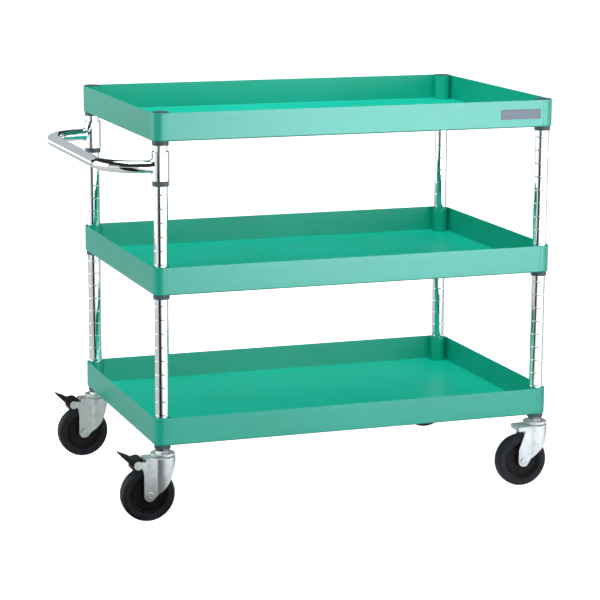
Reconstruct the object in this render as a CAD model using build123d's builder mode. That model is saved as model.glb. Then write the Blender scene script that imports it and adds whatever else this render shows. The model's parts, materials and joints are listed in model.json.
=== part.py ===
"""Three-tier tray trolley: sheet trays on grooved posts, push handle and four swivel casters.

Millimetres, +Z up, +X along the long side away from the handle, +Y to the back.
The origin is on the floor, under the middle of the whole trolley.
"""
from build123d import *
from math import cos, radians, sin, sqrt
import os

os.makedirs("parts", exist_ok=True)

# ---- driving dimensions: trays ----
tray_length = 774.0
tray_width = 511.0
wall_height = 50.0
sheet = 1.2
bend_radius = 2.5
seam_offset = 5.6
seam_width = 0.7
seam_depth = 0.5
seam_notch = 3.2

# ---- posts, and what clamps the trays to them ----
post_diameter = 25.4
post_wall = 1.2
groove_pitch = 25.0
groove_width = 1.4
groove_depth = 0.3
pitches_between_trays = 11
rim_to_groove = 5.0
fit_gap = 0.05
sleeve_wall = 1.65
sleeve_lip = 0.5
sleeve_ring = 8.0
sleeve_recess = 2.0
sleeve_split = 0.6
ridge_depth = 0.2
ridge_width = 1.0
collar_wall = 1.25
weld_gap = 0.1
post_below_sleeve = 1.0
cap_thickness = 1.0
cap_round = 0.6
cap_plug_length = 12.0
cap_plug_wall = 2.0
post_top_gap = 1.0

# ---- push handle ----
handle_diameter = 22.2
handle_wall = 1.4
handle_bend = 75.0
handle_straight = 0.5
handle_grooves_down = 3
handle_sleeve_height = 52.0
handle_sleeve_wall = 1.6
handle_clip_ring = 9.5
handle_flare = 4.5
handle_flare_height = 33.0
handle_flare_narrowing = 0.84
handle_sleeve_round = 0.6

# ---- nameplate ----
nameplate_length = 80.0
nameplate_height = 18.0
nameplate_thickness = 0.8
nameplate_border = 1.6
nameplate_sink = 0.3
nameplate_from_end = 29.0

# ---- casters ----
wheel_diameter = 100.0
tyre_width = 27.0
tyre_depth = 14.5
tyre_shoulder = 5.0
tyre_lip_round = 1.5
hub_web = 13.0
hub_rim_width = 21.0
hub_rim_wall = 4.0
hub_rim_chamfer = 1.5
hub_boss_diameter = 26.0
bush_diameter = 14.0
bolt_diameter = 8.0
bolt_head = 14.0
bolt_head_height = 2.6
bolt_head_round = 1.5
bolt_head_dimple = 7.0
nut_across_flats = 13.0
nut_height = 6.5
bolt_tail = 2.0
running_gap = 0.05
side_play = 0.5
trail = 29.0
fork_clearance = 18.0
fork_sheet = 2.5
fork_front_diameter = 47.0
fork_width = 37.0
fork_bend = 2.0
fork_brow = 3.0
leg_radius = 10.5
leg_straight = 22.0
free_knee = (10.8, 29.3)
free_sag = (-3.0, 15.4)
free_toe = (-15.0, 3.7)
free_leg_top = 26.0
lip_drop = 9.0
lip_behind_stem = 41.0
braked_knee = (10.8, 31.5)
braked_sag = (2.6, 17.0)
braked_toe = (-12.0, 3.0)
braked_plate_end = 37.0
race_diameter = 45.0
race_height = 5.5
race_gap = 1.6
race_edge = 1.5
ball_diameter = 4.5
ball_circle = 34.0
ball_count = 16
ball_sink = 0.75
king_pin_diameter = 12.0
king_head_diameter = 20.0
king_head_height = 3.0
king_head_round = 1.0
air_gap = 0.3
hexagon_across_flats = 22.0
hexagon_height = 4.0
stem_diameter = 14.0
stem_length = 36.0
stem_chamfer = 1.4
socket_length = 38.0
socket_flange = 2.0

# ---- brake pedal ----
pedal_pivot_behind_stem = 50.0
pedal_pivot_above_tyre = 7.5
pedal_pin_diameter = 6.0
pin_head_diameter = 8.5
pin_head_height = 1.0
pin_head_round = 0.7
cross_pin_behind_stem = 28.0
cross_pin_above_tyre = 6.5
pedal_wall = 2.2
pedal_side_gap = 0.6
ear_radius = 7.8
ear_low = radians(40)
ear_high = radians(60)
pedal_edge = 0.5
pedal_outline = [
    (-81.5, 29.8),
    (-57.0, 18.8),
    (-46.5, 20.8),
    (-40.5, 18.5),
    (-41.0, 16.0),
    (-44.0, 1.0),
    (-50.0, -2.8),
    (-56.0, -4.4),
    (-60.0, 0.0),
    (-59.5, 5.2),
    (-82.3, 28.3),
]
pedal_hollow = [
    (-76.5, 25.3),
    (-57.2, 16.4),
    (-47.0, 18.2),
    (-44.2, 16.5),
    (-54.5, 11.0),
    (-66.0, 7.0),
    (-83.0, 25.0),
]
spring_front = 8.0
spring_flat = 4.0
spring_reach = 12.3
spring_rise = 4.0
spring_sheet = 0.8
spring_width = 14.0

# ---- worked out from the above ----
post_radius = post_diameter / 2
sleeve_inner = post_radius + fit_gap
sleeve_outer = sleeve_inner + sleeve_wall
collar_inner = sleeve_outer + fit_gap
collar_outer = collar_inner + collar_wall
corner_radius = collar_outer + weld_gap + sheet
post_x = tray_length / 2 - corner_radius
post_y = tray_width / 2 - corner_radius

handle_sleeve_outer = collar_inner + handle_sleeve_wall
handle_reach = handle_sleeve_outer + handle_flare + handle_straight + handle_bend
left_end = post_x + handle_reach + handle_diameter / 2
right_end = max(tray_length / 2, post_x + fork_front_diameter / 2)
deck_x = (left_end - right_end) / 2

axle_z = wheel_diameter / 2
fork_top = wheel_diameter + fork_clearance
race_bottom = fork_top + race_gap
race_top = race_bottom + race_height
socket_bottom = race_top + hexagon_height
post_bottom = socket_bottom + socket_flange
tray_gap = groove_pitch * pitches_between_trays
bottom_rim = post_bottom + post_below_sleeve + sleeve_ring + wall_height
middle_rim = bottom_rim + tray_gap
top_rim = middle_rim + tray_gap
post_top = top_rim - post_top_gap
first_groove = bottom_rim + rim_to_groove - 2 * groove_pitch
groove_count = 1 + int((post_top - groove_width - first_groove) / groove_pitch)
handle_z = top_rim + rim_to_groove - (handle_grooves_down + 1) * groove_pitch
handle_sleeve_top = handle_z + handle_sleeve_height / 2
handle_sleeve_bottom = handle_z - handle_sleeve_height / 2
fork_inner = fork_width - 2 * fork_sheet
hub_length = fork_inner - 2 * side_play

rims = {"top": top_rim, "middle": middle_rim, "bottom": bottom_rim}
corners = {
    "front_left": (-post_x, -post_y),
    "front_right": (post_x, -post_y),
    "back_left": (-post_x, post_y),
    "back_right": (post_x, post_y),
}


def level(z):
    """A horizontal plane at height z, centred under the trays."""
    return Plane((deck_x, 0, z))


def spots(z):
    """The four post axes at height z."""
    return [(deck_x + x, y, z) for x, y in corners.values()]


def write(piece, name):
    """Labels a finished piece and writes its STEP file."""
    piece.part.label = name
    export_step(piece.part, f"parts/{name}.step")


def place(master, name, places):
    """Writes one node that holds a copy of the master piece at each place."""
    with BuildPart() as placed:
        with Locations(*places):
            add(master.part)
    write(placed, name)


# ---- trays ----
def make_tray(name, rim):
    """One pressed tray: floor and walls, holes for the collars, a wrap seam near each corner."""
    bottom = rim - wall_height
    seam_x = post_x - seam_offset
    with BuildPart() as tray:
        with BuildSketch(level(bottom)):
            RectangleRounded(tray_length, tray_width, corner_radius)
        extrude(amount=wall_height)
        fillet(tray.faces().sort_by(Axis.Z)[0].edges(), bend_radius)
        offset(amount=-sheet, openings=tray.faces().sort_by(Axis.Z)[-1])
        with BuildSketch(level(bottom)):
            with Locations(*corners.values()):
                Circle(collar_outer + fit_gap)
        extrude(amount=bend_radius, mode=Mode.SUBTRACT)
        with BuildSketch(level(bottom)):
            with GridLocations(2 * seam_x, tray_width - seam_depth, 2, 2):
                Rectangle(seam_width, seam_depth)
        extrude(amount=wall_height, mode=Mode.SUBTRACT)
        with BuildSketch(Plane((deck_x, 0, rim - wall_height / 2), z_dir=(0, -1, 0))):
            with GridLocations(2 * seam_x, wall_height, 2, 2):
                Rectangle(seam_notch / sqrt(2), seam_notch / sqrt(2), rotation=45)
        extrude(amount=tray_width, both=True, mode=Mode.SUBTRACT)
    write(tray, f"tray_{name}")


def make_collars(name, rim):
    """The round barrels welded inside the corners of one tray."""
    with BuildPart() as collar:
        with BuildSketch(Plane.XY.offset(rim - wall_height)):
            Circle(collar_outer)
            Circle(collar_inner, mode=Mode.SUBTRACT)
        extrude(amount=wall_height)
    place(collar, f"corner_collars_{name}", spots(0))


def split_sleeve(top, bottom, ring, ridge_z):
    """A sleeve in two half shells, with a ridge for the post's groove and a ring below."""
    with BuildPart() as sleeve:
        with BuildSketch(Plane.XZ) as wall:
            with Locations((sleeve_inner, bottom)):
                Rectangle(sleeve_wall, top - bottom, align=Align.MIN)
            with Locations((sleeve_inner, bottom - ring)):
                Rectangle(sleeve_wall + sleeve_lip, ring, align=Align.MIN)
            with Locations((sleeve_inner - ridge_depth / 2, ridge_z)):
                Rectangle(ridge_depth, ridge_width)
        revolve(axis=Axis.Z)
        lowest_edges = sleeve.edges().filter_by(GeomType.CIRCLE).sort_by(Axis.Z)[0:2]
        chamfer(lowest_edges.sort_by(SortBy.RADIUS)[-1], sleeve_lip)
        with BuildSketch(Plane.XY.offset(bottom - ring)):
            Rectangle(sleeve_split, 2 * (sleeve_outer + sleeve_lip))
        extrude(amount=top - bottom + ring, mode=Mode.SUBTRACT)
    return sleeve


def make_tray_sleeves(name, rim):
    """The split sleeves that clamp one tray on its posts: two half shells at each corner."""
    groove_above = rim + rim_to_groove
    sleeve = split_sleeve(rim - sleeve_recess, rim - wall_height, sleeve_ring, groove_above - groove_pitch)
    place(sleeve, f"grip_sleeves_{name}", spots(0))


# ---- posts ----
def make_post():
    """A tube post with a ring groove every pitch."""
    with BuildPart() as post:
        with BuildSketch(Plane.XZ):
            with Locations((post_radius - post_wall, post_bottom)):
                Rectangle(post_wall, post_top - post_bottom, align=Align.MIN)
            middle_groove = first_groove + groove_pitch * (groove_count - 1) / 2
            with Locations((post_radius, middle_groove)):
                with GridLocations(0, groove_pitch, 1, groove_count):
                    Rectangle(2 * groove_depth, groove_width, mode=Mode.SUBTRACT)
        revolve(axis=Axis.Z)
    return post


def make_post_caps():
    """A flat cap on each top corner, with a hollow plug that goes down into the post."""
    plug_radius = post_radius - post_wall - fit_gap
    with BuildPart() as cap:
        with BuildSketch(Plane.XY.offset(top_rim)):
            Circle(collar_outer + weld_gap)
        extrude(amount=cap_thickness)
        fillet(cap.faces().sort_by(Axis.Z)[-1].edges(), cap_round)
        with BuildSketch(Plane.XY.offset(top_rim)):
            Circle(plug_radius)
            Circle(plug_radius - cap_plug_wall, mode=Mode.SUBTRACT)
        extrude(amount=-cap_plug_length)
    place(cap, "post_caps", spots(0))


def make_stem_sockets():
    """The socket pressed into the foot of each post, flanged below and bored for the caster stem."""
    with BuildPart() as socket:
        with BuildSketch(Plane.XY.offset(post_bottom)):
            Circle(post_radius - post_wall - fit_gap)
        extrude(amount=socket_length)
        with BuildSketch(Plane.XY.offset(socket_bottom)):
            Circle(post_radius)
        extrude(amount=socket_flange)
        with BuildSketch(Plane.XY.offset(socket_bottom)):
            Circle(stem_diameter / 2 + fit_gap)
        extrude(amount=socket_flange + socket_length, mode=Mode.SUBTRACT)
    place(socket, "stem_sockets", spots(0))


# ---- push handle ----
def make_handle_tube():
    """The U-bent push tube; each end is flared and saddle-cut to sit against its sleeve."""
    flare_x = -post_x - handle_sleeve_outer - handle_flare
    saddle = handle_sleeve_outer + fit_gap
    with BuildPart() as tube:
        with BuildLine(level(handle_z)) as route:
            FilletPolyline(
                (flare_x, -post_y),
                (-post_x - handle_reach, -post_y),
                (-post_x - handle_reach, post_y),
                (flare_x, post_y),
                radius=handle_bend,
            )
        with BuildSketch(Plane((deck_x + flare_x, -post_y, handle_z), z_dir=(-1, 0, 0))):
            Circle(handle_diameter / 2)
            Circle(handle_diameter / 2 - handle_wall, mode=Mode.SUBTRACT)
        sweep(path=route.wires()[0])
        for side in (-post_y, post_y):
            root = Plane((deck_x + flare_x, side, handle_z), x_dir=(0, 1, 0), z_dir=(1, 0, 0))
            with BuildSketch(root):
                Circle(handle_diameter / 2)
            with BuildSketch(root.offset(handle_flare + handle_sleeve_outer / 2)):
                Ellipse(handle_diameter * handle_flare_narrowing / 2, handle_flare_height / 2)
            loft()
        with BuildSketch(level(handle_z - handle_flare_height)):
            with Locations((-post_x, -post_y), (-post_x, post_y)):
                Circle(saddle)
        extrude(amount=2 * handle_flare_height, mode=Mode.SUBTRACT)
    write(tube, "handle_tube")


def make_handle_sleeves():
    """The two chrome sleeves that carry the handle on the left posts."""
    with BuildPart() as sleeve:
        with BuildSketch(Plane.XY.offset(handle_sleeve_bottom)):
            Circle(handle_sleeve_outer)
            Circle(collar_inner, mode=Mode.SUBTRACT)
        extrude(amount=handle_sleeve_height)
        fillet(sleeve.edges().filter_by(GeomType.CIRCLE).sort_by(SortBy.RADIUS)[-2:], handle_sleeve_round)
    for end, y in (("front", -post_y), ("back", post_y)):
        place(sleeve, f"handle_sleeve_{end}", [(deck_x - post_x, y, 0)])


def make_handle_clips():
    """The split clips inside the handle sleeves, each with its ring below."""
    clip = split_sleeve(handle_sleeve_top - sleeve_recess, handle_sleeve_bottom, handle_clip_ring, handle_z)
    place(clip, "handle_clips", [(deck_x - post_x, -post_y, 0), (deck_x - post_x, post_y, 0)])


# ---- nameplate ----
def make_nameplate():
    """A blank plate with a raised border, stuck on the front wall of the top tray."""
    plate_x = deck_x + tray_length / 2 - nameplate_from_end - nameplate_length / 2
    plate_z = top_rim - wall_height / 2
    face = Plane((plate_x, -tray_width / 2, plate_z), x_dir=(1, 0, 0), z_dir=(0, -1, 0))
    inner_length = nameplate_length - 2 * nameplate_border
    inner_height = nameplate_height - 2 * nameplate_border
    with BuildPart() as plate:
        with BuildSketch(face):
            RectangleRounded(nameplate_length, nameplate_height, nameplate_border)
        extrude(amount=nameplate_thickness)
        with BuildSketch(face.offset(nameplate_thickness - nameplate_sink)):
            Rectangle(inner_length, inner_height)
        extrude(amount=nameplate_sink, mode=Mode.SUBTRACT)
    write(plate, "nameplate")


# ---- casters, each drawn about its own stem axis ----
def make_stem():
    """Stem, hexagon and king pin in one, with the riveted head under the fork's top."""
    head_top = fork_top - fork_sheet - air_gap
    with BuildPart() as stem:
        with BuildSketch(Plane.XY.offset(socket_bottom)):
            Circle(stem_diameter / 2)
        extrude(amount=stem_length)
        chamfer(stem.faces().sort_by(Axis.Z)[-1].edges(), stem_chamfer)
        with BuildSketch(Plane.XY.offset(race_top)):
            RegularPolygon(hexagon_across_flats / 2, 6, major_radius=False)
        extrude(amount=hexagon_height)
        with BuildSketch(Plane.XY.offset(head_top)):
            Circle(king_pin_diameter / 2)
        extrude(amount=race_top - head_top)
        with BuildSketch(Plane.XY.offset(head_top)):
            Circle(king_head_diameter / 2)
        extrude(amount=-king_head_height)
        fillet(stem.faces().sort_by(Axis.Z)[0].edges(), king_head_round)
    return stem


def make_race():
    """The upper ball race: a thick dished disc fixed under the hexagon."""
    ball_z = fork_top + ball_diameter / 2 - ball_sink
    with BuildPart() as race:
        with BuildSketch(Plane.XY.offset(race_bottom)):
            Circle(race_diameter / 2)
            Circle(king_pin_diameter / 2 + fit_gap, mode=Mode.SUBTRACT)
        extrude(amount=race_height)
        outer_edges = race.edges().filter_by(GeomType.CIRCLE).group_by(SortBy.RADIUS)[-1]
        fillet(outer_edges, race_edge)
        with BuildSketch(Plane.XZ):
            with Locations((ball_circle / 2, ball_z)):
                Circle(ball_diameter / 2 + air_gap)
        revolve(axis=Axis.Z, mode=Mode.SUBTRACT)
    return race


def make_balls():
    """The ring of balls that the fork turns on."""
    with BuildPart() as balls:
        with Locations((0, 0, fork_top + ball_diameter / 2 - ball_sink)):
            with PolarLocations(ball_circle / 2, ball_count):
                Sphere(ball_diameter / 2)
    return balls


def fork_outline(braked):
    """The fork's closed outline from the side: plate, legs, skirt and, if braked, ears."""
    turn = radians(45)
    rear_x = -trail - leg_radius
    leg_rear = (rear_x, axle_z + leg_straight)
    leg_front = (-trail + leg_radius * cos(turn), axle_z - leg_radius * sin(turn))
    knee_x, knee_rise = braked_knee if braked else free_knee
    sag_x, sag_rise = braked_sag if braked else free_sag
    toe_x, toe_rise = braked_toe if braked else free_toe
    knee = (knee_x, axle_z + knee_rise)
    toe = (toe_x, axle_z + toe_rise)
    brow = (fork_front_diameter / 2, fork_top - fork_brow)
    with BuildLine() as outline:
        ThreePointArc(leg_front, (-trail - leg_radius * sin(turn), axle_z - leg_radius * cos(turn)), (rear_x, axle_z))
        Line((rear_x, axle_z), leg_rear)
        if braked:
            pivot_x, pivot_z = pin_places()[0]
            low = (pivot_x + ear_radius * cos(ear_low), pivot_z - ear_radius * sin(ear_low))
            far = (pivot_x - ear_radius, pivot_z)
            high = (pivot_x + ear_radius * cos(ear_high), pivot_z + ear_radius * sin(ear_high))
            Spline(leg_rear, low, tangents=((0, 1), (-sin(ear_low), cos(ear_low))))
            ThreePointArc(low, far, high)
            Polyline(high, (-braked_plate_end, fork_top - 2 * fork_sheet), (fork_sheet - braked_plate_end, fork_top))
            Line((fork_sheet - braked_plate_end, fork_top), (fork_front_diameter, fork_top))
        else:
            Polyline(leg_rear, (-free_leg_top, fork_top - lip_drop), (-lip_behind_stem - fork_sheet, fork_top - lip_drop))
            Polyline(
                (-lip_behind_stem - fork_sheet, fork_top - lip_drop),
                (-lip_behind_stem - fork_sheet, fork_top),
                (fork_front_diameter, fork_top),
            )
        Polyline((fork_front_diameter, fork_top), (fork_front_diameter, fork_top - fork_brow), brow, knee)
        ThreePointArc(knee, (sag_x, axle_z + sag_rise), toe)
        Line(toe, leg_front)
    return outline.line


def make_fork(braked):
    """A pressed fork: round in front, flat sides, hollow below, cut to its side outline."""
    back = fork_top if braked else lip_behind_stem
    inner_top = fork_top - fork_sheet
    open_top = inner_top if braked else fork_top - lip_drop
    outline = fork_outline(braked)
    with BuildPart() as fork:
        with BuildSketch(Plane.XY):
            Circle(fork_front_diameter / 2)
            with Locations((-back, 0)):
                Rectangle(back, fork_width, align=(Align.MIN, Align.CENTER))
        extrude(amount=fork_top)
        fillet(fork.faces().sort_by(Axis.Z)[-1].edges(), fork_bend)
        with BuildSketch(Plane.XY):
            Circle(fork_front_diameter / 2 - fork_sheet)
            with Locations((fork_sheet - back, 0)):
                Rectangle(back - fork_sheet, fork_inner, align=(Align.MIN, Align.CENTER))
        extrude(amount=inner_top, mode=Mode.SUBTRACT)
        with BuildSketch(Plane.XY):
            with Locations((-fork_top, 0)):
                Rectangle(fork_top, fork_inner, align=(Align.MIN, Align.CENTER))
        extrude(amount=open_top, mode=Mode.SUBTRACT)
        with BuildSketch(Plane.XZ):
            add(outline)
            make_face()
        extrude(amount=fork_width, both=True, mode=Mode.INTERSECT)
        with BuildSketch(Plane.XY.offset(inner_top)):
            Circle(king_pin_diameter / 2 + running_gap)
        extrude(amount=fork_sheet, mode=Mode.SUBTRACT)
        with BuildSketch(Plane.XZ):
            with Locations((-trail, axle_z)):
                Circle(bolt_diameter / 2 + fit_gap)
            if braked:
                with Locations(*pin_places()):
                    Circle(pedal_pin_diameter / 2 + fit_gap)
        extrude(amount=fork_width, both=True, mode=Mode.SUBTRACT)
        with BuildSketch(Plane.XZ):
            with Locations((ball_circle / 2, fork_top + ball_diameter / 2 - ball_sink)):
                Circle(ball_diameter / 2 + fit_gap)
        revolve(axis=Axis.Z, mode=Mode.SUBTRACT)
    return fork


def pin_places():
    """Where the pedal's pivot pin and the cross pin go through the braked fork, seen from the side."""
    pivot = (-pedal_pivot_behind_stem, wheel_diameter + pedal_pivot_above_tyre)
    cross = (-cross_pin_behind_stem, wheel_diameter + cross_pin_above_tyre)
    return [pivot, cross]


def make_axle(outward):
    """The axle bolt, its domed and dimpled head facing outward (-1 front, 1 back), and its nut."""
    side = outward * fork_width / 2
    head = Plane((-trail, side, axle_z), z_dir=(0, outward, 0))
    tail = Plane((-trail, -side, axle_z), z_dir=(0, -outward, 0))
    with BuildPart() as axle:
        with BuildSketch(head):
            Circle(bolt_head / 2)
        extrude(amount=bolt_head_height)
        fillet(axle.faces().sort_by(Axis((0, 0, 0), (0, outward, 0)))[-1].edges(), bolt_head_round)
        with BuildSketch(head.offset(bolt_head_height)):
            Circle(bolt_head_dimple / 2)
        extrude(amount=-bolt_head_height / 2, mode=Mode.SUBTRACT)
        with BuildSketch(head):
            Circle(bolt_diameter / 2)
        extrude(amount=-(fork_width + nut_height + bolt_tail))
        with BuildSketch(tail):
            RegularPolygon(nut_across_flats / 2, 6, major_radius=False)
            Circle(bolt_diameter / 2 + fit_gap, mode=Mode.SUBTRACT)
        extrude(amount=nut_height)
    return axle


def make_bush():
    """The steel bush clamped between the fork's legs, on which the hub turns."""
    with BuildPart() as bush:
        with BuildSketch(Plane((-trail, -fork_inner / 2, axle_z), z_dir=(0, 1, 0))):
            Circle(bush_diameter / 2)
            Circle(bolt_diameter / 2 + fit_gap, mode=Mode.SUBTRACT)
        extrude(amount=fork_inner)
    return bush


def make_hub():
    """The moulded hub: a long boss, a thick plain web and a rim for the tyre."""
    rim_radius = axle_z - tyre_depth - fit_gap
    boss_radius = hub_boss_diameter / 2
    wheel_axis = Axis((-trail, 0, axle_z), (0, 1, 0))
    bore = bush_diameter / 2 + running_gap
    with BuildPart() as hub:
        with BuildSketch(Plane((-trail, 0, axle_z))):
            with Locations(((bore + boss_radius) / 2, 0)):
                Rectangle(boss_radius - bore, hub_length)
            with Locations(((bore + rim_radius) / 2, 0)):
                Rectangle(rim_radius - bore, hub_web)
            with Locations((rim_radius - hub_rim_wall / 2, 0)):
                Rectangle(hub_rim_wall, hub_rim_width)
        revolve(axis=wheel_axis)
        web_edges = hub.edges().filter_by(GeomType.CIRCLE).group_by(SortBy.RADIUS)[-2]
        chamfer(web_edges, hub_rim_chamfer)
    return hub


def make_tyre():
    """The rubber tyre with rounded shoulders and a step beside the hub."""
    inner_radius = axle_z - tyre_depth
    with BuildPart() as tyre:
        with BuildSketch(Plane((-trail, 0, axle_z))) as section:
            with Locations((inner_radius + tyre_depth / 2, 0)):
                Rectangle(tyre_depth, tyre_width)
            fillet(section.vertices().group_by(Axis.X)[-1], tyre_shoulder)
            fillet(section.vertices().group_by(Axis.X)[0], tyre_lip_round)
        revolve(axis=Axis((-trail, 0, axle_z), (0, 1, 0)))
    return tyre


# ---- brake, only on the casters below the handle ----
def make_pedal():
    """The brake pedal: a hollow lever with a hump over its pivot and a shoe facing the tyre."""
    half_width = fork_inner / 2 - pedal_side_gap
    with BuildPart() as pedal:
        with BuildSketch(Plane.XZ):
            with BuildLine():
                Polyline(*[(x, wheel_diameter + rise) for x, rise in pedal_outline], close=True)
            make_face()
        extrude(amount=half_width, both=True)
        fillet(pedal.edges().filter_by(GeomType.LINE).filter_by(Axis.Y), pedal_edge)
        with BuildSketch(Plane.XZ):
            with BuildLine():
                Polyline(*[(x, wheel_diameter + rise) for x, rise in pedal_hollow], close=True)
            make_face()
        extrude(amount=half_width - pedal_wall, both=True, mode=Mode.SUBTRACT)
        with BuildSketch(Plane.XZ):
            with Locations(pin_places()[0]):
                Circle(pedal_pin_diameter / 2 + running_gap)
        extrude(amount=half_width, both=True, mode=Mode.SUBTRACT)
    return pedal


def make_brake_pins():
    """The pedal's pivot pin and the cross pin, each with a domed head at both ends."""
    side = fork_width / 2
    with BuildPart() as pins:
        with BuildSketch(Plane.XZ):
            with Locations(*pin_places()):
                Circle(pedal_pin_diameter / 2)
        extrude(amount=side, both=True)
        for direction in (-1, 1):
            with BuildSketch(Plane((0, direction * side, 0), x_dir=(1, 0, 0), z_dir=(0, -1, 0))):
                with Locations(*pin_places()):
                    Circle(pin_head_diameter / 2)
            extrude(amount=-direction * pin_head_height)
        ends = pins.faces().filter_by(Axis.Y).sort_by(Axis.Y)
        fillet((ends[:2] + ends[-2:]).edges(), pin_head_round)
    return pins


def make_brake_spring():
    """The leaf spring that lies on the cross pin and ends at the pedal's nose."""
    pin_top = wheel_diameter + cross_pin_above_tyre + pedal_pin_diameter / 2
    over_pin = pin_top + fit_gap + spring_sheet / 2
    with BuildPart() as spring:
        with BuildSketch(Plane.XZ):
            with BuildLine():
                FilletPolyline(
                    (-cross_pin_behind_stem + spring_front, over_pin),
                    (-cross_pin_behind_stem - spring_flat, over_pin),
                    (-cross_pin_behind_stem - spring_reach, over_pin + spring_rise),
                    radius=spring_flat,
                )
            trace(line_width=spring_sheet)
        extrude(amount=spring_width / 2, both=True)
    return spring


# ---- build every node ----
for tray_name, rim_height in rims.items():
    make_tray(tray_name, rim_height)
    make_collars(tray_name, rim_height)
    make_tray_sleeves(tray_name, rim_height)

post_master = make_post()
for corner, (corner_x, corner_y) in corners.items():
    place(post_master, f"post_{corner}", [(deck_x + corner_x, corner_y, 0)])
make_post_caps()
make_stem_sockets()
make_handle_tube()
make_handle_sleeves()
make_handle_clips()
make_nameplate()

caster_masters = {
    "stem": make_stem(),
    "race": make_race(),
    "balls": make_balls(),
    "bush": make_bush(),
    "hub": make_hub(),
    "tyre": make_tyre(),
}
forks = {True: make_fork(True), False: make_fork(False)}
axles = {"front": make_axle(-1), "back": make_axle(1)}
brake_masters = {
    "brake_pedal": make_pedal(),
    "brake_pins": make_brake_pins(),
    "brake_spring": make_brake_spring(),
}
for corner, (corner_x, corner_y) in corners.items():
    braked = corner.endswith("left")
    here = [(deck_x + corner_x, corner_y, 0)]
    pieces = caster_masters | {"fork": forks[braked], "axle": axles[corner.split("_")[0]]}
    if braked:
        pieces = pieces | brake_masters
    for piece_name, master in pieces.items():
        place(master, f"{corner}_{piece_name}", here)
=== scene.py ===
# %% [markdown]
# # Three-tier tray trolley
# The trolley is pressed steel trays on four chromed posts, with a chromed push handle and four
# swivel casters, the two under the handle with brakes. Its shapes and sizes come from the packed
# CAD model, which stands in the scene as a fixed frame. This lesson gives every part its finish,
# models the pieces that a finish alone can't show, and sets a small product studio around them.

# %% load the frame
import json
from math import cos, pi, radians, sin

import bpy
from mathutils import Matrix, Vector

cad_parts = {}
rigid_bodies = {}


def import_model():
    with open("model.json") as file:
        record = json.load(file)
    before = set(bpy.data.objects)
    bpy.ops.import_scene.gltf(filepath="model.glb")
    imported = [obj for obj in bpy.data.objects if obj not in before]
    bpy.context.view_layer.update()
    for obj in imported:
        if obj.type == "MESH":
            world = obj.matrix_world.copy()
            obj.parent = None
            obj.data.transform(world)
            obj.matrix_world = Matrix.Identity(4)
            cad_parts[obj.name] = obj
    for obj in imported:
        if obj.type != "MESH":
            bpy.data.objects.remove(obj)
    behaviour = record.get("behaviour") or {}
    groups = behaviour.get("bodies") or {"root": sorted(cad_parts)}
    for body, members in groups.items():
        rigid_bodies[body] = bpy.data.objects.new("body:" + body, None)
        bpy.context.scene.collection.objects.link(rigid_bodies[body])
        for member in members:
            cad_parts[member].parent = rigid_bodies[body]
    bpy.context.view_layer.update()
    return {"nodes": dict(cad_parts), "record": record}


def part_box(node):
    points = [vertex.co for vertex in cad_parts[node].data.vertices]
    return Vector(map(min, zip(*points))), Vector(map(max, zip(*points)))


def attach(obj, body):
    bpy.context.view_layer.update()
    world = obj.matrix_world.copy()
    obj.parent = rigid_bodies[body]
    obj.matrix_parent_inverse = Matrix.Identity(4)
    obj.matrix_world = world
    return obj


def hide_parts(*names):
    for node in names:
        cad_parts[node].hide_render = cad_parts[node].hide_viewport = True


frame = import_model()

nodes = frame["nodes"]
MM = 0.001

# %% [markdown]
# ## Shader maths that reads like arithmetic
# A procedural finish is a chain of small sums: noise times a strength plus a base value. Adding
# each Math node by hand hides the sum in ten lines of plumbing. `Wire` wraps one output socket
# and turns `0.3 + 0.1 * grain` into the Math nodes that work it out.

# %% wires
class Wire:
    """One output of a finish's node tree, used like a number."""

    def __init__(self, finish, socket):
        self.finish = finish
        self.socket = socket

    def maths(self, operation, first, second):
        return self.finish.node("Math", {"operation": operation}, {0: first, 1: second})

    def __add__(self, other):
        return self.maths("ADD", self, other)

    def __radd__(self, other):
        return self.maths("ADD", other, self)

    def __sub__(self, other):
        return self.maths("SUBTRACT", self, other)

    def __rsub__(self, other):
        return self.maths("SUBTRACT", other, self)

    def __mul__(self, other):
        return self.maths("MULTIPLY", self, other)

    def __rmul__(self, other):
        return self.maths("MULTIPLY", other, self)

    def between(self, low, high):
        """0 below low, 1 above high, and a smooth step from one to the other."""
        inputs = {"Value": self, "From Min": low, "From Max": high}
        return self.finish.node("MapRange", {"interpolation_type": "SMOOTHSTEP"}, inputs)


print("a wire takes + - * and between(low, high)")

# %% [markdown]
# ## One class for every finish
# `Finish` holds a material on the Principled shader. Numbers that are the same all over the
# surface are set on the shader's own sockets, and its `node` method is the only place where any
# node is made. Every pattern starts from Object coordinates, so it stays on its piece.

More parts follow.
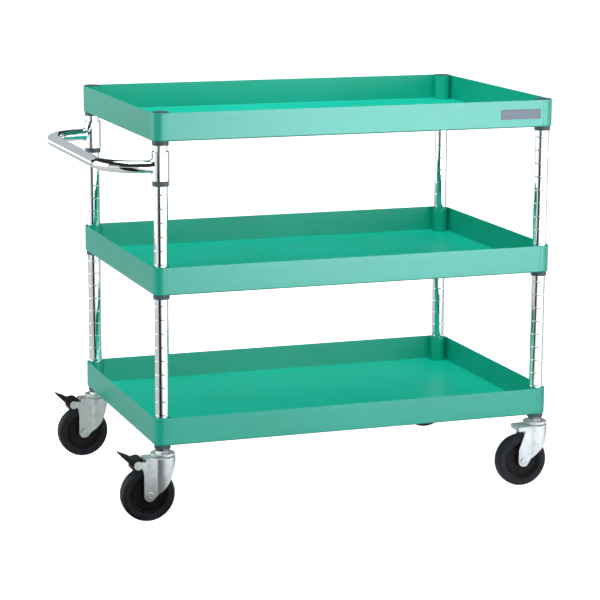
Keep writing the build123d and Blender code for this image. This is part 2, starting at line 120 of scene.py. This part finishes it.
# %% finishes
class Finish:
    """A material on the Principled shader, with constants set on the shader's own sockets."""

    def __init__(self, name, **constants):
        self.material = bpy.data.materials.new(name)
        self.material.use_nodes = True
        self.tree = self.material.node_tree
        self.shader = self.tree.nodes["Principled BSDF"]
        for socket, value in constants.items():
            self.shader.inputs[socket.replace("_", " ")].default_value = value
        self.place = self.node("TexCoord", output="Object")

    def node(self, kind, settings=None, inputs=None, output=0):
        """Adds one node: its settings first, then a value or a wire for each named socket."""
        made = self.tree.nodes.new("ShaderNode" + kind)
        for name, value in (settings or {}).items():
            setattr(made, name, value)
        for name, value in (inputs or {}).items():
            self.connect(value, made.inputs[name])
        return Wire(self, made.outputs[output])

    def connect(self, value, socket):
        if isinstance(value, Wire):
            self.tree.links.new(value.socket, socket)
        else:
            socket.default_value = value

    def set(self, socket, value):
        self.connect(value, self.shader.inputs[socket])

    def noise(self, size, detail=2.0, stretch=(1, 1, 1), seed=0.0):
        """Soft noise from 0 to 1 with lumps about size metres across, drawn out along stretch."""
        shrink = tuple(1 / (size * share) for share in stretch)
        moved = {"Vector": self.place, "Scale": shrink, "Location": (seed, seed, seed)}
        mapped = self.node("Mapping", {"vector_type": "POINT"}, moved)
        inputs = {"Vector": mapped, "Scale": 1.0, "Detail": detail}
        return self.node("TexNoise", {"noise_dimensions": "3D"}, inputs)

    def blend(self, mask, colour, other):
        """colour where mask is 0, the other colour where it is 1."""
        settings = {"data_type": "RGBA"}
        inputs = {0: mask, 6: (*colour, 1) if isinstance(colour, tuple) else colour, 7: (*other, 1)}
        return self.node("Mix", settings, inputs, output=2)

    def bump(self, *heights):
        """Raises the surface by each (height wire, metres of relief) in turn."""
        normal = None
        for height, relief in heights:
            inputs = {"Strength": 1.0, "Distance": relief, "Height": height}
            if normal:
                inputs["Normal"] = normal
            normal = self.node("Bump", None, inputs)
        self.set("Normal", normal)


print("a finish has", ", ".join(word for word in vars(Finish) if not word.startswith("__")))

# %% [markdown]
# ## Finding the CAD nodes
# The CAD model names its nodes by place and part, such as `back_left_hub`, so a part that comes
# four times is found by how its name ends, and a family of parts by how it starts.

# %% giving a finish
def give(finish, *names):
    """Puts a finish on CAD nodes."""
    for name in names:
        for slot in nodes[name].material_slots:
            slot.material = finish.material
    print(finish.material.name, "on", len(names), "nodes")


def named(*endings):
    """The CAD nodes whose name ends in one of the endings."""
    return [name for name in nodes if name.endswith(endings)]


def starting(*starts):
    """The CAD nodes whose name starts with one of the starts."""
    return [name for name in nodes if name.startswith(starts)]


print(len(named("_tyre")), "tyres and", len(starting("post_front", "post_back")), "posts found by name")

# %% [markdown]
# ## Satin green powder coat
# The trays are powder coated: the powder melts into one thick skin, so the colour is even, the
# gloss is satin, and the surface has the fine dimples of orange peel. An image of paint would
# show its tiles on walls this long. Three noises do it instead: a fine one for the peel, a
# middle one for how thickly the powder lay, and a broad one for the gloss of a wiped surface.

# %% powder coat
powder = Finish("green_powder_coat", IOR=1.42, Coat_Weight=0.3, Coat_Roughness=0.3)
peel = powder.noise(1.3 * MM, detail=1.0)
film = powder.noise(9 * MM, detail=2.0)
wiping = powder.noise(160 * MM, detail=3.0, seed=4.0)
deep_green, pale_green = (0.001, 0.36, 0.245), (0.0015, 0.39, 0.275)
powder.set("Base Color", powder.blend(wiping.between(0.3, 0.7), deep_green, pale_green))
powder.set("Roughness", 0.34 + 0.07 * wiping + 0.03 * film)
powder.bump((film, 0.05 * MM), (peel, 0.018 * MM))
give(powder, *named("tray_top", "tray_middle", "tray_bottom"), *starting("corner_collars"))

# %% [markdown]
# ## Bright chrome
# Posts and handle are polished tube with chrome plate. Chrome is all reflection, so its detail
# is in how the reflection breaks: a faint waviness from drawing and polishing, and a haze where
# hands and cloths have been. Both are kept so weak that the tube still mirrors the studio.

# %% chrome
chrome = Finish("bright_chrome", Metallic=1.0)
haze = chrome.noise(35 * MM, detail=4.0)
polish = chrome.noise(2.5 * MM, detail=2.0, seed=2.0)
chrome.set("Roughness", 0.035 + 0.09 * haze.between(0.45, 0.8) + 0.02 * polish)
clear_chrome, handled_chrome = (0.88, 0.9, 0.91), (0.8, 0.82, 0.83)
chrome.set("Base Color", chrome.blend(haze.between(0.4, 0.8), clear_chrome, handled_chrome))
chrome.bump((chrome.noise(14 * MM, detail=1.0, seed=7.0), 0.05 * MM), (polish, 0.002 * MM))
give(chrome, *starting("post_front", "post_back", "handle_tube", "handle_sleeve"))

# %% [markdown]
# ## Bright zinc plate
# The casters are pressed steel, barrel plated in zinc with a clear blue passivate. The plate is
# a soft mirror: bluish white, a little cloudy, with fine scratches from tumbling against other
# forks. The clouds go into colour and roughness, and the scratches are thin stretched noise.
# Metallic stays under 1, because the passivate is a clear skin that also scatters a little light.

# %% zinc
zinc = Finish("bright_zinc_plate", Metallic=0.8)
clouds = zinc.noise(11 * MM, detail=5.0)
tumbling = zinc.noise(0.9 * MM, detail=2.0, stretch=(1, 1, 5), seed=3.0)
bright_zinc, cloudy_zinc = (0.82, 0.87, 0.85), (0.7, 0.76, 0.75)
zinc.set("Base Color", zinc.blend(clouds.between(0.35, 0.7), bright_zinc, cloudy_zinc))
zinc.set("Roughness", 0.2 + 0.14 * clouds + 0.07 * tumbling)
zinc.bump((clouds, 0.03 * MM), (tumbling, 0.006 * MM))
give(zinc, *named("_fork", "_axle", "_race", "_stem", "_brake_pins"))

# %% [markdown]
# ## Plain steel
# Balls, bushes and springs are bare or lightly oiled steel, darker and duller than the plate,
# with a film of oil that collects in patches.

# %% steel
steel = Finish("oiled_steel", Metallic=1.0)
oil = steel.noise(6 * MM, detail=3.0)
grain = steel.noise(0.6 * MM, detail=1.0, seed=5.0)
dry_steel, oily_steel = (0.5, 0.51, 0.52), (0.36, 0.35, 0.34)
steel.set("Base Color", steel.blend(oil.between(0.4, 0.7), dry_steel, oily_steel))
steel.set("Roughness", 0.26 + 0.16 * oil + 0.05 * grain)
steel.bump((grain, 0.008 * MM))
give(steel, *named("_balls", "_bush", "_brake_spring"))

# %% [markdown]
# ## Moulded plastics
# The mould of a plastic part is spark eroded, which leaves an even matt grain on the part, and
# the flow of the melt leaves faint lighter clouds. One function makes all four plastics, which
# differ in colour, roughness and the size of the grain.

# %% plastics
def moulded(name, colour, paler, roughness, grain_size, relief, ior=1.49):
    """A moulded plastic between two shades, with a spark-eroded grain."""
    plastic = Finish(name, IOR=ior)
    flow = plastic.noise(18 * MM, detail=3.0)
    spark = plastic.noise(grain_size, detail=2.0, seed=6.0)
    plastic.set("Base Color", plastic.blend(flow.between(0.35, 0.75), colour, paler))
    plastic.set("Roughness", roughness + 0.08 * flow + 0.06 * spark)
    plastic.bump((spark, relief))
    return plastic


pedal_plastic = moulded(
    "black_pedal_plastic", (0.008, 0.007, 0.006), (0.015, 0.013, 0.012),
    roughness=0.36, grain_size=0.5 * MM, relief=0.02 * MM, ior=1.35,
)
sleeve_plastic = moulded(
    "slate_sleeve_plastic", (0.045, 0.075, 0.095), (0.065, 0.1, 0.125),
    roughness=0.3, grain_size=0.4 * MM, relief=0.01 * MM,
)
cap_plastic = moulded(
    "grey_cap_plastic", (0.045, 0.06, 0.068), (0.06, 0.078, 0.088),
    roughness=0.4, grain_size=0.5 * MM, relief=0.015 * MM,
)
hub_nylon = moulded(
    "black_hub_nylon", (0.005, 0.0045, 0.004), (0.01, 0.009, 0.008),
    roughness=0.38, grain_size=0.6 * MM, relief=0.02 * MM, ior=1.33,
)
give(pedal_plastic, *named("_brake_pedal"), "stem_sockets")
give(sleeve_plastic, *starting("grip_sleeves"), "handle_clips")
give(cap_plastic, "post_caps")
give(hub_nylon, *named("_hub"))

# %% [markdown]
# ## Tyre rubber
# Solid rubber tyres are smooth from the mould and bloom to a bluish grey, because wax in the
# rubber comes to the surface in patches. The patches are a broad noise that makes the rubber
# both paler and duller, and a fine noise gives the pores.

# %% rubber
rubber = Finish("black_tyre_rubber", IOR=1.4)
bloom = rubber.noise(13 * MM, detail=4.0)
pores = rubber.noise(0.45 * MM, detail=2.0, seed=8.0)
clean_rubber, bloomed_rubber = (0.009, 0.011, 0.015), (0.017, 0.02, 0.027)
rubber.set("Base Color", rubber.blend(bloom.between(0.35, 0.75), clean_rubber, bloomed_rubber))
rubber.set("Roughness", 0.42 + 0.12 * bloom + 0.06 * pores)
rubber.bump((pores, 0.02 * MM))
give(rubber, *named("_tyre"))

# %% [markdown]
# ## Nameplate
# The maker's plate is anodised aluminium with a fine brushed grain along its length. The dyed
# oxide covers the metal, so the finish is a dark coloured one with Metallic at 0. It is left blank.

# %% nameplate
plate = Finish("brushed_nameplate", Metallic=0.0)
brushing = plate.noise(0.35 * MM, detail=2.0, stretch=(60, 1, 1))
plate.set("Base Color", plate.blend(brushing, (0.05, 0.07, 0.1), (0.08, 0.105, 0.14)))
plate.set("Roughness", 0.3 + 0.2 * brushing)
plate.bump((brushing, 0.01 * MM))
give(plate, "nameplate")

# %% [markdown]
# ## Turned pieces
# Posts and tyres are round all the way, so a lathe's way of working suits them: draw half the
# section beside the axis, then turn it. Stacked cylinders could do it too, but each groove and
# rounded shoulder would be its own object. Here one vertex is extruded from point to point along
# the outline, and the closed chain is spun. Spin can turn a shape inside out, so the doubles at
# its seam are merged and its normals recalculated.

# %% turning
same_point = 0.002 * MM
smooth_under = radians(35)


def turned(name, outline, centre, axis, steps):
    """Spins a closed outline of (radius, place along the axis) points into a ring or a tube."""
    centre, axis = Vector(centre), Vector(axis)
    places = [centre + Vector((radius, 0, 0)) + axis * along for radius, along in outline]
    bpy.ops.object.select_all(action="DESELECT")
    bpy.ops.mesh.primitive_plane_add(size=1 * MM, location=places[0])
    bpy.ops.object.transform_apply(location=True)
    made = bpy.context.object
    made.name = made.data.name = name
    bpy.ops.object.mode_set(mode="EDIT")
    bpy.ops.mesh.select_mode(type="VERT")
    bpy.ops.mesh.merge(type="CENTER")
    for here, there in zip(places, places[1:] + places[:1]):
        bpy.ops.mesh.extrude_region_move(TRANSFORM_OT_translate={"value": there - here})
    bpy.ops.mesh.select_all(action="SELECT")
    bpy.ops.mesh.spin(steps=steps, angle=2 * pi, center=centre, axis=axis)
    bpy.ops.mesh.select_all(action="SELECT")
    bpy.ops.mesh.remove_doubles(threshold=same_point)
    bpy.ops.mesh.normals_make_consistent(inside=False)
    bpy.ops.object.mode_set(mode="OBJECT")
    bpy.ops.object.shade_smooth_by_angle(angle=smooth_under)
    print(name, "has", len(made.data.polygons), "faces")
    return made


# %% [markdown]
# ## Dressing and repeating a piece
# A new piece needs a finish, a body to move with, and the name of the CAD node that it stands
# for. What comes more than once is modelled once: each copy gets a mesh of its own, moved by the
# distance between the two CAD nodes, so its object stays at the origin.

# %% dressing and repeating
def dress(piece, finish, body, slot, *replaced):
    """Finishes a new piece: its material, the body it moves with and what it stands for. The slot is not
    used.
    """
    piece.data.materials.clear()
    piece.data.materials.append(finish.material)
    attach(piece, body)
    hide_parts(*replaced)
    print(piece.name, "moves with", body, "and stands for", *replaced)


def repeated(piece, name, node, model):
    """A copy of a piece with its own mesh, moved from one CAD node's place to another's."""
    made = bpy.data.objects.new(name, piece.data.copy())
    made.data.name = name
    bpy.context.scene.collection.objects.link(made)
    made.data.transform(Matrix.Translation(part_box(node)[0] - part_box(model)[0]))
    return made


corners = ["front_left", "front_right", "back_left", "back_right"]
print("corners of the trolley:", ", ".join(corners))

# %% [markdown]
# ## Rolled grooves in the posts
# The rings that the tray sleeves grip aren't cut: a wheel rolls them into the tube before it is
# plated, so each is a shallow valley with soft banks. A cut groove has flat walls that mirror
# nothing, while a rolled one catches the overhead light as a bright line. Each post is turned
# with a valley at every pitch. The first and last point of a valley lie on the straight tube: they
# hold the smooth shading close to the bank, so that it doesn't ripple the 25 mm between.

# %% grooved posts
tube_wall = 1.2 * MM
groove_pitch = 25 * MM
groove_depth = 0.3 * MM
half_groove = 1.1 * MM
rim_to_groove = 5 * MM
grooves_below_rim = 2
post_facets = 64


def grooved_tube(name):
    """One post: a tube with a rolled valley at every pitch, counted from the rim of the lowest tray."""
    low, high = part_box(name)
    radius = (high[0] - low[0]) / 2
    bank = [(0, -1.3), (0, -1), (0.35, -0.7), (1, -0.2)]
    valley = [(share, across * half_groove) for share, across in bank]
    valley += [(share, -along) for share, along in reversed(valley)]
    outline = [(radius - tube_wall, low[2]), (radius, low[2])]
    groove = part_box("tray_bottom")[1][2] + rim_to_groove - grooves_below_rim * groove_pitch
    while groove + half_groove < high[2]:
        outline += [(radius - groove_depth * share, groove + along) for share, along in valley]
        groove += groove_pitch
    outline += [(radius, high[2]), (radius - tube_wall, high[2])]
    centre = ((low[0] + high[0]) / 2, (low[1] + high[1]) / 2, 0)
    return turned("grooved_" + name, outline, centre, (0, 0, 1), post_facets)


first_post = grooved_tube("post_front_left")
grooved_posts = [first_post]
for corner in corners[1:]:
    post = "post_" + corner
    grooved_posts.append(repeated(first_post, "grooved_" + post, post, "post_front_left"))
for corner, tube in zip(corners, grooved_posts):
    dress(tube, chrome, "frame", "chrome", "post_" + corner)

# %% [markdown]
# ## Moulded tyres
# A caster tyre leaves its mould with a crowned tread, a faint ridge where the mould halves meet,
# and a ring groove in each flank beside the bead that hugs the hub. A torus has none of these,
# so the tyre is turned too, from half an outline that is then mirrored. The flank lists the
# outline's points in millimetres, below the top of the tread and out from the tyre's middle.

# %% tyres
tyre_facets = 96
flank = [
    (-14.5, 12.0), (-13.9, 13.0), (-12.6, 13.5), (-11.2, 13.4), (-10.6, 12.8), (-9.8, 12.8), (-9.2, 13.3),
    (-7.8, 13.5), (-4.6, 13.2), (-2.7, 12.2), (-1.3, 10.4), (-0.5, 8.0), (-0.15, 4.5), (-0.2, 0.5),
]


def moulded_tyre(corner):
    """One tyre, turned from the flank and its mirror image round the wheel's axis."""
    node = corner + "_tyre"
    low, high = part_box(node)
    radius = (high[2] - low[2]) / 2
    half = [(radius + drop * MM, side * MM) for drop, side in flank]
    outline = half + [(radius, 0)] + [(out, -side) for out, side in reversed(half)]
    centre = [(a + b) / 2 for a, b in zip(low, high)]
    return turned(corner + "_moulded_tyre", outline, centre, (0, 1, 0), tyre_facets)


first_tyre = moulded_tyre("front_left")
for corner in corners:
    tyre = first_tyre
    if corner != "front_left":
        tyre = repeated(first_tyre, corner + "_moulded_tyre", corner + "_tyre", "front_left_tyre")
    dress(tyre, rubber, corner + "_wheel", "tyre_rubber", corner + "_tyre")

# %% [markdown]
# ## Edges that catch the light
# Pressed and moulded parts never have knife edges. The CAD mesh has them, and it is loose
# triangles, so a bevel can't find its way along an edge. A copy is merged, its flat faces are
# dissolved back into single faces, and then a Bevel modifier rounds what is left. Weighted
# normals give the large faces the say over the shading, so that they stay flat up to the rounding.

# %% softened copies
flat_within = radians(1)
edge_over = radians(40)


def softened(name, node, width, segments=3):
    """A copy of a CAD node with its sharp edges rounded to a width."""
    made = nodes[node].copy()
    made.data = nodes[node].data.copy()
    made.name = made.data.name = name
    bpy.context.scene.collection.objects.link(made)
    bpy.ops.object.select_all(action="DESELECT")
    made.select_set(True)
    bpy.context.view_layer.objects.active = made
    bpy.ops.mesh.customdata_custom_splitnormals_clear()
    bpy.ops.object.mode_set(mode="EDIT")
    bpy.ops.mesh.select_all(action="SELECT")
    bpy.ops.mesh.remove_doubles(threshold=same_point)
    bpy.ops.mesh.dissolve_limited(angle_limit=flat_within)
    bpy.ops.object.mode_set(mode="OBJECT")
    bevel = made.modifiers.new("rounding", "BEVEL")
    bevel.width = width
    bevel.segments = segments
    bevel.limit_method = "ANGLE"
    bevel.angle_limit = edge_over
    bpy.ops.object.modifier_apply(modifier="rounding")
    bpy.ops.object.shade_smooth_by_angle(angle=smooth_under)
    weighted = made.modifiers.new("flat faces", "WEIGHTED_NORMAL")
    weighted.keep_sharp = True
    weighted.weight = 100
    bpy.ops.object.modifier_apply(modifier="flat faces")
    print(name, "has", len(made.data.polygons), "faces")
    return made


print("edges sharper than", round(edge_over * 180 / pi), "degrees get rounded")

# %% [markdown]
# ## Brake pedals
# The pedal is pressed with a shoe, so its tread has raised bars for grip. Each bar starts as a
# cube laid on the slope of the tread, its edges are bevelled in edit mode, and it is joined to
# the softened pedal so that both move as one. The pedal turns on a pin, and its bore is widened
# by a twentieth, which leaves the pin a little more room.

# %% the pedal's bore
bore_reach = 3.2 * MM
bore_growth = 1.05


def widen_bore(pedal, corner):
    """Moves the bore's wall out from the brake's pivot."""
    joints = {joint["name"]: joint for joint in frame["record"]["behaviour"]["joints"]}
    pivot = Vector(joints[corner + "_brake"]["pos_m"])
    bpy.ops.object.mode_set(mode="EDIT")
    bpy.ops.mesh.select_mode(type="VERT")
    bpy.ops.mesh.select_all(action="DESELECT")
    bpy.ops.object.mode_set(mode="OBJECT")
    for vertex in pedal.data.vertices:
        away = vertex.co - pivot
        vertex.select = away.x ** 2 + away.z ** 2 < bore_reach ** 2
    print("bore of", pedal.name, "has", sum(v.select for v in pedal.data.vertices), "vertices")
    bpy.ops.object.mode_set(mode="EDIT")
    bpy.ops.transform.resize(value=(bore_growth, 1, bore_growth), center_override=pivot)
    bpy.ops.object.mode_set(mode="OBJECT")

# %% [markdown]
# ## Grip bars
# The tread falls from the pedal's tip towards its pivot, so every bar is placed along that slope
# and turned to lie in it. It is partly sunk into the tread, and is shorter than the pedal is
# wide, which keeps its ends off the pedal's rounded edges.

# %% grip bars
tread_run, tread_fall = 24.5, 11
tip_setback = 0.8 * MM
bar_count = 5
first_bar, bar_pitch = 4, 3.6
bar_lift = 0.2
bar_thick = 1.4 * MM
bar_shortfall = 3 * MM
bar_rounding = 0.4 * MM


def grip_bars(low, high):
    """Rounded bars across the tread of a pedal whose CAD box goes from low to high."""
    half_wide = (high[1] - low[1]) / 2
    tip = Vector((low[0] + tip_setback, (low[1] + high[1]) / 2, high[2]))
    slope = Vector((tread_run, 0, -tread_fall)).normalized()
    raised = Vector((tread_fall, 0, tread_run)).normalized()
    lean = slope.angle((1, 0, 0))
    bars = []
    for number in range(bar_count):
        bpy.ops.object.select_all(action="DESELECT")
        place = tip + slope * (first_bar + bar_pitch * number) * MM + raised * bar_lift * MM
        bpy.ops.mesh.primitive_cube_add(size=1, location=place, rotation=(0, lean, 0))
        bar = bpy.context.object
        bar.scale = (bar_thick, 2 * half_wide - bar_shortfall, bar_thick)
        bpy.ops.object.transform_apply(location=True, rotation=True, scale=True)
        bpy.ops.object.mode_set(mode="EDIT")
        bpy.ops.mesh.select_all(action="SELECT")
        bpy.ops.mesh.bevel(offset=bar_rounding, segments=3)
        bpy.ops.object.mode_set(mode="OBJECT")
        bars.append(bar)
    return bars


def ribbed_pedal(corner):
    """One brake pedal with soft edges and grip bars across its tread."""
    node = corner + "_brake_pedal"
    pedal = softened(corner + "_ribbed_pedal", node, 0.6 * MM)
    widen_bore(pedal, corner)
    bars = grip_bars(*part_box(node))
    bpy.ops.object.select_all(action="DESELECT")
    for part in (*bars, pedal):
        part.select_set(True)
    bpy.context.view_layer.objects.active = pedal
    bpy.ops.object.join()
    bpy.ops.object.shade_smooth_by_angle(angle=smooth_under)
    return pedal


front_node, back_node = "front_left_brake_pedal", "back_left_brake_pedal"
front_pedal = ribbed_pedal("front_left")
back_pedal = repeated(front_pedal, "back_left_ribbed_pedal", back_node, front_node)
dress(front_pedal, pedal_plastic, "front_left_pedal", "black_plastic", front_node)
dress(back_pedal, pedal_plastic, "back_left_pedal", "black_plastic", back_node)

# %% [markdown]
# ## Forks
# The fork is one blank of 2.5 mm steel, blanked, drawn and plated. Its edges are rounded by the
# press and again by the barrel, and that thin bright rim is what tells plated steel from paint.
# The two left forks carry a brake and the two right ones don't, so one of each pair is modelled.

# %% forks
for side in ("left", "right"):
    model = "front_" + side + "_fork"
    front_fork = softened("front_" + side + "_pressed_fork", model, 0.5 * MM)
    back_fork = repeated(front_fork, "back_" + side + "_pressed_fork", "back_" + side + "_fork", model)
    dress(front_fork, zinc, "front_" + side + "_caster", "zinc_steel", model)
    dress(back_fork, zinc, "back_" + side + "_caster", "zinc_steel", "back_" + side + "_fork")

# %% [markdown]
# ## The smaller pressed and turned parts
# Trays, races, axles and the nameplate get the same treatment as the forks. The width of each
# rounding is what its process leaves: an edge of thin coated sheet is rounded by a quarter of a
# millimetre, a pressed race by half a millimetre, and a bolt's edges lie between the two.

# %% softened small parts
def soften_alike(places, width, finish, slot):
    """Rounds the edges of the first named node, and repeats it at the others, each on its body."""
    model = next(iter(places))
    first = softened("soft_" + model, model, width, segments=2)
    for name, body in places.items():
        piece = first if name == model else repeated(first, "soft_" + name, name, model)
        dress(piece, finish, body, slot, name)


trays = {"tray_" + tier: "frame" for tier in ("top", "middle", "bottom")}
races = {corner + "_race": "frame" for corner in corners}
axles = {corner + "_axle": corner + "_caster" for corner in corners}
soften_alike(trays, 0.25 * MM, powder, "green_paint")
soften_alike(races, 0.5 * MM, zinc, "zinc_steel")
soften_alike(axles, 0.3 * MM, zinc, "zinc_steel")
soften_alike({"nameplate": "frame"}, 0.2 * MM, plate, "nameplate")

# %% [markdown]
# ## The camera
# A trolley is shown from a little above and to one side, so that two walls and all three tray
# floors can be seen. The long lens keeps the far posts nearly as tall as the near ones. The
# camera's axes are worked out from its heading, its dip below the horizon and its slight tilt,
# because a matrix of its three axes leaves no doubt about the order of the turns.

# %% camera
camera_place = (-1.4177, -4.0257, 1.1897)
focal_length = 135.1
heading, dip, tilt = radians(-19.641), radians(-11.27), radians(0.286)
camera_data = bpy.data.cameras.new("camera")
camera = bpy.data.objects.new("camera", camera_data)
bpy.context.scene.collection.objects.link(camera)
bpy.context.scene.camera = camera
forward = Vector((-sin(heading) * cos(dip), cos(heading) * cos(dip), sin(dip)))
level_right = Vector((cos(heading), sin(heading), 0))
level_up = level_right.cross(forward)
right = level_right * cos(tilt) + level_up * sin(tilt)
up = level_up * cos(tilt) - level_right * sin(tilt)
turn = Matrix((right, up, -forward)).transposed().to_4x4()
camera.matrix_world = Matrix.Translation(camera_place) @ turn
camera_data.lens = focal_length
camera_data.clip_end = 60
print("camera at", camera_place, "with a", focal_length, "mm lens")

# %% [markdown]
# ## The floor
# The floor is a disc of pale paper that runs far past the trolley on all sides. It glows a
# little, as a floor lit from below does, so that the trolley stands on white. White paper would
# also throw light up under every tray, so the floor is left out of the light that bounces.

# %% floor
floor_width = 60
floor_edges = 48


def card(name, matrix, finish, points=4):
    """A flat studio card, one unit across before its matrix: four points make a diamond."""
    bpy.ops.object.select_all(action="DESELECT")
    bpy.ops.mesh.primitive_circle_add(vertices=points, radius=0.5, fill_type="NGON")
    made = bpy.context.object
    made.name = name
    made.matrix_world = matrix
    made.data.materials.append(finish.material)
    return made


paper = Finish("pale_floor_paper", Roughness=0.9, Specular_IOR_Level=0.1, Emission_Strength=0.5)
paper.shader.inputs["Emission Color"].default_value = (1, 1, 1, 1)
shaded_paper, clean_paper = (0.6, 0.6, 0.6), (0.64, 0.64, 0.64)
paper.set("Base Color", paper.blend(paper.noise(300 * MM, detail=3.0), shaded_paper, clean_paper))
floor = card("studio_floor", Matrix.Diagonal((floor_width, floor_width, 1, 1)), paper, floor_edges)
floor.visible_diffuse = False
print("floor is", floor_width, "m across")

# %% [markdown]
# ## Cards for the reflections
# Chrome needs something dark to mirror, or it looks like white plastic, and a satin wall takes
# its sheen from what lies in front of it. Flags and cloths would do that in a studio, but they
# would show and shade the floor. These cards lie just above the floor and are seen by shiny
# surfaces only: a dim cloth all round, a diamond of diffuser that glows more the further out it
# goes, and a black diamond beside it. Azimuth 0 is in front, and it grows to the right.

# %% cards for the reflections
def low_card(name, azimuth, start, length, width, height, finish):
    """A diamond on the floor that only shiny surfaces see, starting so far out along an azimuth."""
    swing = Matrix.Rotation(radians(azimuth), 4, "Z")
    out = Matrix.Translation((0, -start - length / 2, height))
    made = card(name, swing @ out @ Matrix.Diagonal((width, length, 1, 1)), finish)
    made.visible_camera = False
    made.visible_diffuse = False
    made.visible_shadow = False
    print(name, "is", length, "m long")


dim = Finish("dim_floor_cloth", Base_Color=(0.32, 0.33, 0.33, 1), Roughness=1.0)
black = Finish("black_flag_cloth", Base_Color=(0.004, 0.004, 0.004, 1), Roughness=1.0)
lit = Finish("lit_diffuser", Base_Color=(0.3, 0.3, 0.3, 1), Roughness=1.0, Emission_Strength=3.0)
diffuser_length = 9.0
near_glow, glow_per_metre = 0.02, 0.28
unlit, cool_white = (0.0, 0.0, 0.0), (0.84, 0.88, 1.0)
along_card = lit.node("SeparateXYZ", None, {"Vector": lit.place}, output="Y")
metres_out = (0.5 - along_card) * diffuser_length
brightness = near_glow + glow_per_metre * metres_out
lit.set("Emission Color", lit.blend(brightness, unlit, cool_white))
cloth_width = 20
low_card("dim_floor", 0, -cloth_width / 2, cloth_width, cloth_width, 2 * MM, dim)
low_card("lit_wedge", 24, 0, diffuser_length, 0.9 * diffuser_length, 4 * MM, lit)
low_card("black_wedge", -46, 0, 8.0, 2.1, 6 * MM, black)

# %% [markdown]
# ## Softboxes
# A softbox is an area light with an even brightness. One stands to the right of the camera and
# one behind at the left, a flat one hangs overhead, and a weak key stands in front. The satin
# walls facing the camera carry a broad cool sheen, so a strong softbox low in front is seen in
# reflections only, and only by the painted pieces and the nameplate: on the zinc it would burn
# out. Light linking names the pieces that a light reaches, which no real lamp can do.

# %% softboxes
def facing(azimuth, distance, height):
    """A place on a circle round the trolley, turned to face its middle. Azimuth 0 is in front."""
    angle = radians(azimuth)
    spot = Vector((sin(angle) * distance, -cos(angle) * distance, height))
    aim = Vector((0, 0, height)) - spot
    return Matrix.Translation(spot) @ aim.to_track_quat("-Z", "Y").to_matrix().to_4x4()


def softbox(name, matrix, width, height, radiance, colour=(1, 1, 1)):
    """A rectangular area light of even brightness, which the camera doesn't see."""
    light = bpy.data.lights.new(name, "AREA")
    light.shape = "RECTANGLE"
    light.size, light.size_y = width, height
    light.energy = radiance * pi * width * height
    light.color = colour
    box = bpy.data.objects.new(name, light)
    box.matrix_world = matrix
    box.visible_camera = False
    bpy.context.scene.collection.objects.link(box)
    print(name, "is", width, "by", height, "m")
    return box


def reflected_by(name, pieces, *boxes):
    """Leaves softboxes out of diffuse light, and links them to a group of pieces."""
    group = bpy.data.collections.new(name)
    for piece in pieces:
        group.objects.link(piece)
    for box in boxes:
        box.visible_diffuse = False
        box.light_linking.receiver_collection = group
    print(len(pieces), name, "pieces mirror", len(boxes), "boxes of their own")


key = softbox("key_softbox", facing(22, 2.5, 0.9), 1.3, 1.6, radiance=0.25)
key.visible_glossy = False
sheen = softbox("sheen_softbox", facing(22, 2.5, 0.5), 1.3, 0.95, radiance=12.5, colour=(0.8, 0.87, 1))
softbox("right_panel", facing(68, 3.0, 1.2), 2.2, 2.4, radiance=1.6)
softbox("left_panel", facing(-112, 2.6, 1.0), 2.4, 1.8, radiance=1.7)
softbox("top_softbox", Matrix.Translation((0, -0.2, 3.2)), 3.0, 2.4, radiance=2.6)
painted = [piece for piece in bpy.data.objects if powder.material.name in piece.material_slots]
reflected_by("painted", painted + [bpy.data.objects["soft_nameplate"]], sheen)

# %% [markdown]
# ## Panels for the chrome
# A round post mirrors the whole studio in thin upright stripes. Between the bright and the dark
# stripes of a chromed tube lie grey ones, so two weak panels, behind and at the left, are seen
# by the posts and the handle only.

# %% panels for the chrome
back_panel = softbox("back_panel", facing(178, 3.0, 0.9), 3.2, 2.2, radiance=0.55, colour=(0.85, 0.95, 1))
side_panel = softbox("side_panel", facing(-80, 2.4, 0.6), 1.8, 1.6, radiance=0.4, colour=(0.88, 0.96, 1))
handle = [nodes[name] for name in starting("handle_tube", "handle_sleeve")]
reflected_by("chromed", grooved_posts + handle, back_panel, side_panel)

# %% [markdown]
# ## Fill between the trays
# Each tray shades the one below, but the insides of all three have to be seen. Lamps between the
# trays would show in the chrome. A sun lamp without shadows, left out of reflections, lights all
# three floors alike. It isn't how light behaves, only a plain way to show every tray.

# %% shelf fill
fill_data = bpy.data.lights.new("shelf_fill", "SUN")
fill_data.energy = 3.0
fill_data.use_shadow = False
fill = bpy.data.objects.new("shelf_fill", fill_data)
fill.rotation_euler = (radians(20), 0, radians(-25))
fill.visible_glossy = False
bpy.context.scene.collection.objects.link(fill)
print("shelf fill has strength", fill_data.energy)

# %% [markdown]
# ## Studio air
# The room's walls throw a soft light on everything, but a mirror should see a dark room between
# the softboxes. A Light Path node tells the two kinds of ray apart, and a Map Range node picks
# the strength for each. The view transform is Standard, so that white paper comes out white.

# %% studio air
room_light, room_in_mirrors = 0.45, 0.03
world = bpy.data.worlds.new("studio_air")
bpy.context.scene.world = world
world.use_nodes = True
air = world.node_tree
rays = air.nodes.new("ShaderNodeLightPath")
level = air.nodes.new("ShaderNodeMapRange")
level.inputs["To Min"].default_value = room_light
level.inputs["To Max"].default_value = room_in_mirrors
air.links.new(rays.outputs["Is Glossy Ray"], level.inputs["Value"])
air.links.new(level.outputs["Result"], air.nodes["Background"].inputs["Strength"])
air.nodes["Background"].inputs["Color"].default_value = (0.97, 0.98, 1.0, 1)
bpy.context.scene.view_settings.view_transform = "Standard"
print("room light", room_light, "and", room_in_mirrors, "in mirrors")

# %% [markdown]
# The new pieces may not make the trolley larger than its CAD model.
